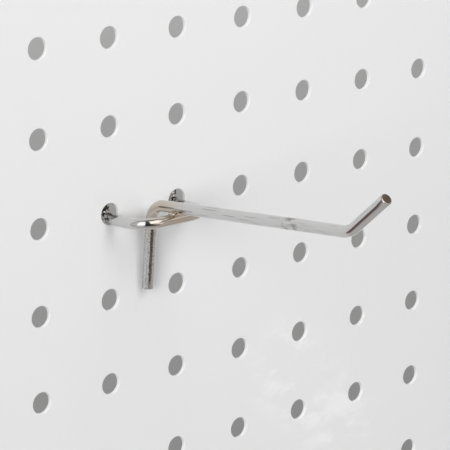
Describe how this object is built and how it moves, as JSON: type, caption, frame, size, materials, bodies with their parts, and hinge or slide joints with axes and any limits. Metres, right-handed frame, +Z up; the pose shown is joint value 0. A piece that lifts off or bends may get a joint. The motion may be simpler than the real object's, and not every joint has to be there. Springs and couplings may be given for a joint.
{
  "type": "pegboard panel with hook",
  "caption": "Square folded steel pegboard panel for a wall, with a grid of round peg holes, a tilting single-prong wire hook and its wall fixings.",
  "frame": {"origin": "centre of the panel on the wall plane, which is the rear face of its lips", "axes": "+X to the right of someone facing the board, +Y into the wall, +Z up; the sheet's front looks along -Y"},
  "size_m": [0.4064, 0.1543, 0.4064],
  "materials": {
    "powder_coat": "white powder coat, fine orange peel, satin",
    "chrome_wire": "bright plated, with fine drawing lines along the wire",
    "zinc_steel": "bright zinc",
    "spacer_nylon": "natural nylon",
    "plug_nylon": "grey nylon"
  },
  "bodies": {
    "board": {"perforated_panel": "powder_coat", "wall_screw_bottom_left": "zinc_steel", "wall_screw_bottom_right": "zinc_steel", "wall_screw_top_left": "zinc_steel", "wall_screw_top_right": "zinc_steel", "washer_bottom_left": "zinc_steel", "washer_bottom_right": "zinc_steel", "washer_top_left": "zinc_steel", "washer_top_right": "zinc_steel", "spacer_bottom_left": "spacer_nylon", "spacer_bottom_right": "spacer_nylon", "spacer_top_left": "spacer_nylon", "spacer_top_right": "spacer_nylon", "wall_plug_bottom_left": "plug_nylon", "wall_plug_bottom_right": "plug_nylon", "wall_plug_top_left": "plug_nylon", "wall_plug_top_right": "plug_nylon"},
    "hook": {"hook_prong": "chrome_wire", "hook_back_wire": "chrome_wire"}
  },
  "joints": [
    {"name": "hook_tilt", "type": "hinge", "parent": "board", "child": "hook", "pos_m": [-0.1016, -0.01855, 0.03925], "axis": [-1, 0, 0], "range_deg": [0, 68]}
  ]
}
